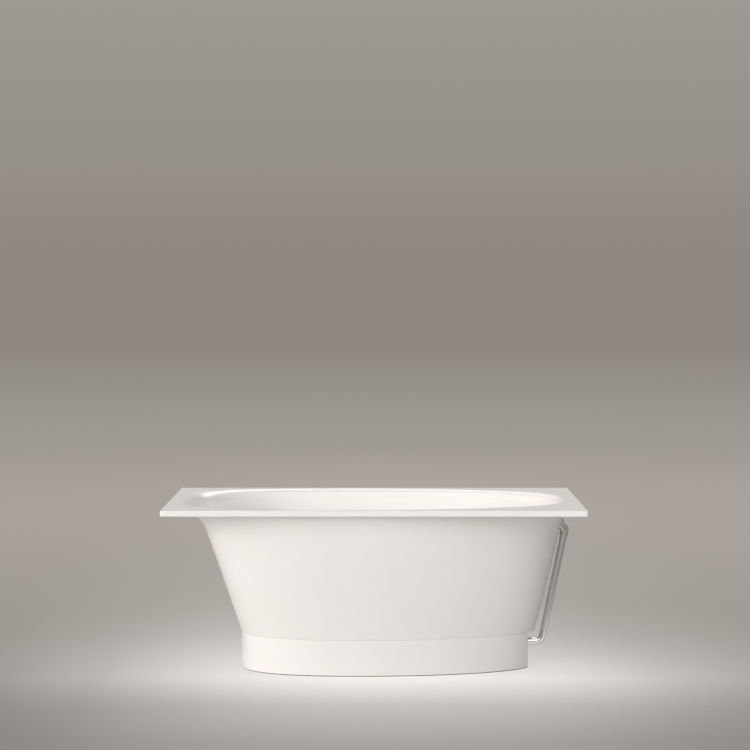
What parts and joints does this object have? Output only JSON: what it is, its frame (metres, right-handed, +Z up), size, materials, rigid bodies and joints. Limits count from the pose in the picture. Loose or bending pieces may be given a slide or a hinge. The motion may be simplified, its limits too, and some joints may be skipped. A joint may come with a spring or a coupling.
{
  "type": "bathtub",
  "caption": "Freestanding cast-stone bath: egg-shaped bowl in a rectangular rim slab, plinth with levelling feet, strainer waste with trap, and a chrome overflow pipe outside.",
  "frame": {"origin": "on the floor under the middle of the rim slab, which is the bottom centre of the bounding box", "axes": "+X towards the drain end, along the length; +Y towards the wall behind the bath; +Z up"},
  "size_m": [1.5, 0.75, 0.615],
  "materials": {
    "cast_stone": "gloss gel coat on mineral cast, warm white",
    "chrome": "polished chrome plate",
    "steel": "turned stainless or zinc-plated steel",
    "brass": "turned brass",
    "black_rubber": "matt black rubber",
    "white_plastic": "satin white polypropylene",
    "black_plastic": "satin black nylon",
    "joint_bead": "white elastic sealant"
  },
  "bodies": {
    "bath": {"bath_shell": "cast_stone", "plinth": "cast_stone", "joint_seal": "joint_bead", "foot_inserts": "brass", "foot_lock_nuts": "steel", "waste_flange": "chrome", "waste_screw": "steel", "waste_top_gasket": "black_rubber", "waste_bottom_gasket": "black_rubber", "waste_body": "white_plastic", "waste_bush": "brass", "trap_union_nut": "white_plastic", "trap_washer": "black_rubber", "trap_body": "white_plastic", "inlet_nut": "white_plastic", "inlet_seal": "black_rubber", "trap_plug": "white_plastic", "trap_plug_seal": "black_rubber", "outlet_nut": "white_plastic", "outlet_seal": "black_rubber", "outlet_tail": "white_plastic", "overflow_rosette": "chrome", "overflow_screw": "steel", "overflow_inner_gasket": "black_rubber", "overflow_outer_gasket": "black_rubber", "overflow_hood": "chrome", "overflow_bush": "brass", "overflow_collar": "chrome", "overflow_seal": "black_rubber", "overflow_pipe": "chrome"},
    "foot_1_cup": {"foot_pad_1": "black_plastic", "foot_sole_1": "black_rubber"},
    "foot_1_stud": {"foot_stud_1": "steel"},
    "foot_2_cup": {"foot_pad_2": "black_plastic", "foot_sole_2": "black_rubber"},
    "foot_2_stud": {"foot_stud_2": "steel"},
    "foot_3_cup": {"foot_pad_3": "black_plastic", "foot_sole_3": "black_rubber"},
    "foot_3_stud": {"foot_stud_3": "steel"},
    "foot_4_cup": {"foot_pad_4": "black_plastic", "foot_sole_4": "black_rubber"},
    "foot_4_stud": {"foot_stud_4": "steel"}
  },
  "joints": [
    {"name": "foot_1_lift", "type": "slide", "parent": "bath", "child": "foot_1_cup", "axis": [0, 0, -1], "range_m": [-0.008, 0.01]},
    {"name": "foot_1_turn", "type": "hinge", "parent": "foot_1_cup", "child": "foot_1_stud", "pos_m": [-0.33, -0.116, 0], "axis": [0, 0, -1], "range_deg": [-1650, 2060]},
    {"name": "foot_2_lift", "type": "slide", "parent": "bath", "child": "foot_2_cup", "axis": [0, 0, -1], "range_m": [-0.008, 0.01]},
    {"name": "foot_2_turn", "type": "hinge", "parent": "foot_2_cup", "child": "foot_2_stud", "pos_m": [-0.33, 0.116, 0], "axis": [0, 0, -1], "range_deg": [-1650, 2060]},
    {"name": "foot_3_lift", "type": "slide", "parent": "bath", "child": "foot_3_cup", "axis": [0, 0, -1], "range_m": [-0.008, 0.01]},
    {"name": "foot_3_turn", "type": "hinge", "parent": "foot_3_cup", "child": "foot_3_stud", "pos_m": [0.29, -0.116, 0], "axis": [0, 0, -1], "range_deg": [-1650, 2060]},
    {"name": "foot_4_lift", "type": "slide", "parent": "bath", "child": "foot_4_cup", "axis": [0, 0, -1], "range_m": [-0.008, 0.01]},
    {"name": "foot_4_turn", "type": "hinge", "parent": "foot_4_cup", "child": "foot_4_stud", "pos_m": [0.29, 0.116, 0], "axis": [0, 0, -1], "range_deg": [-1650, 2060]}
  ],
  "couplings": [
    {"joint": "foot_1_turn", "follows": "foot_1_lift", "rad_per_m": 3590.4},
    {"joint": "foot_2_turn", "follows": "foot_2_lift", "rad_per_m": 3590.4},
    {"joint": "foot_3_turn", "follows": "foot_3_lift", "rad_per_m": 3590.4},
    {"joint": "foot_4_turn", "follows": "foot_4_lift", "rad_per_m": 3590.4}
  ]
}
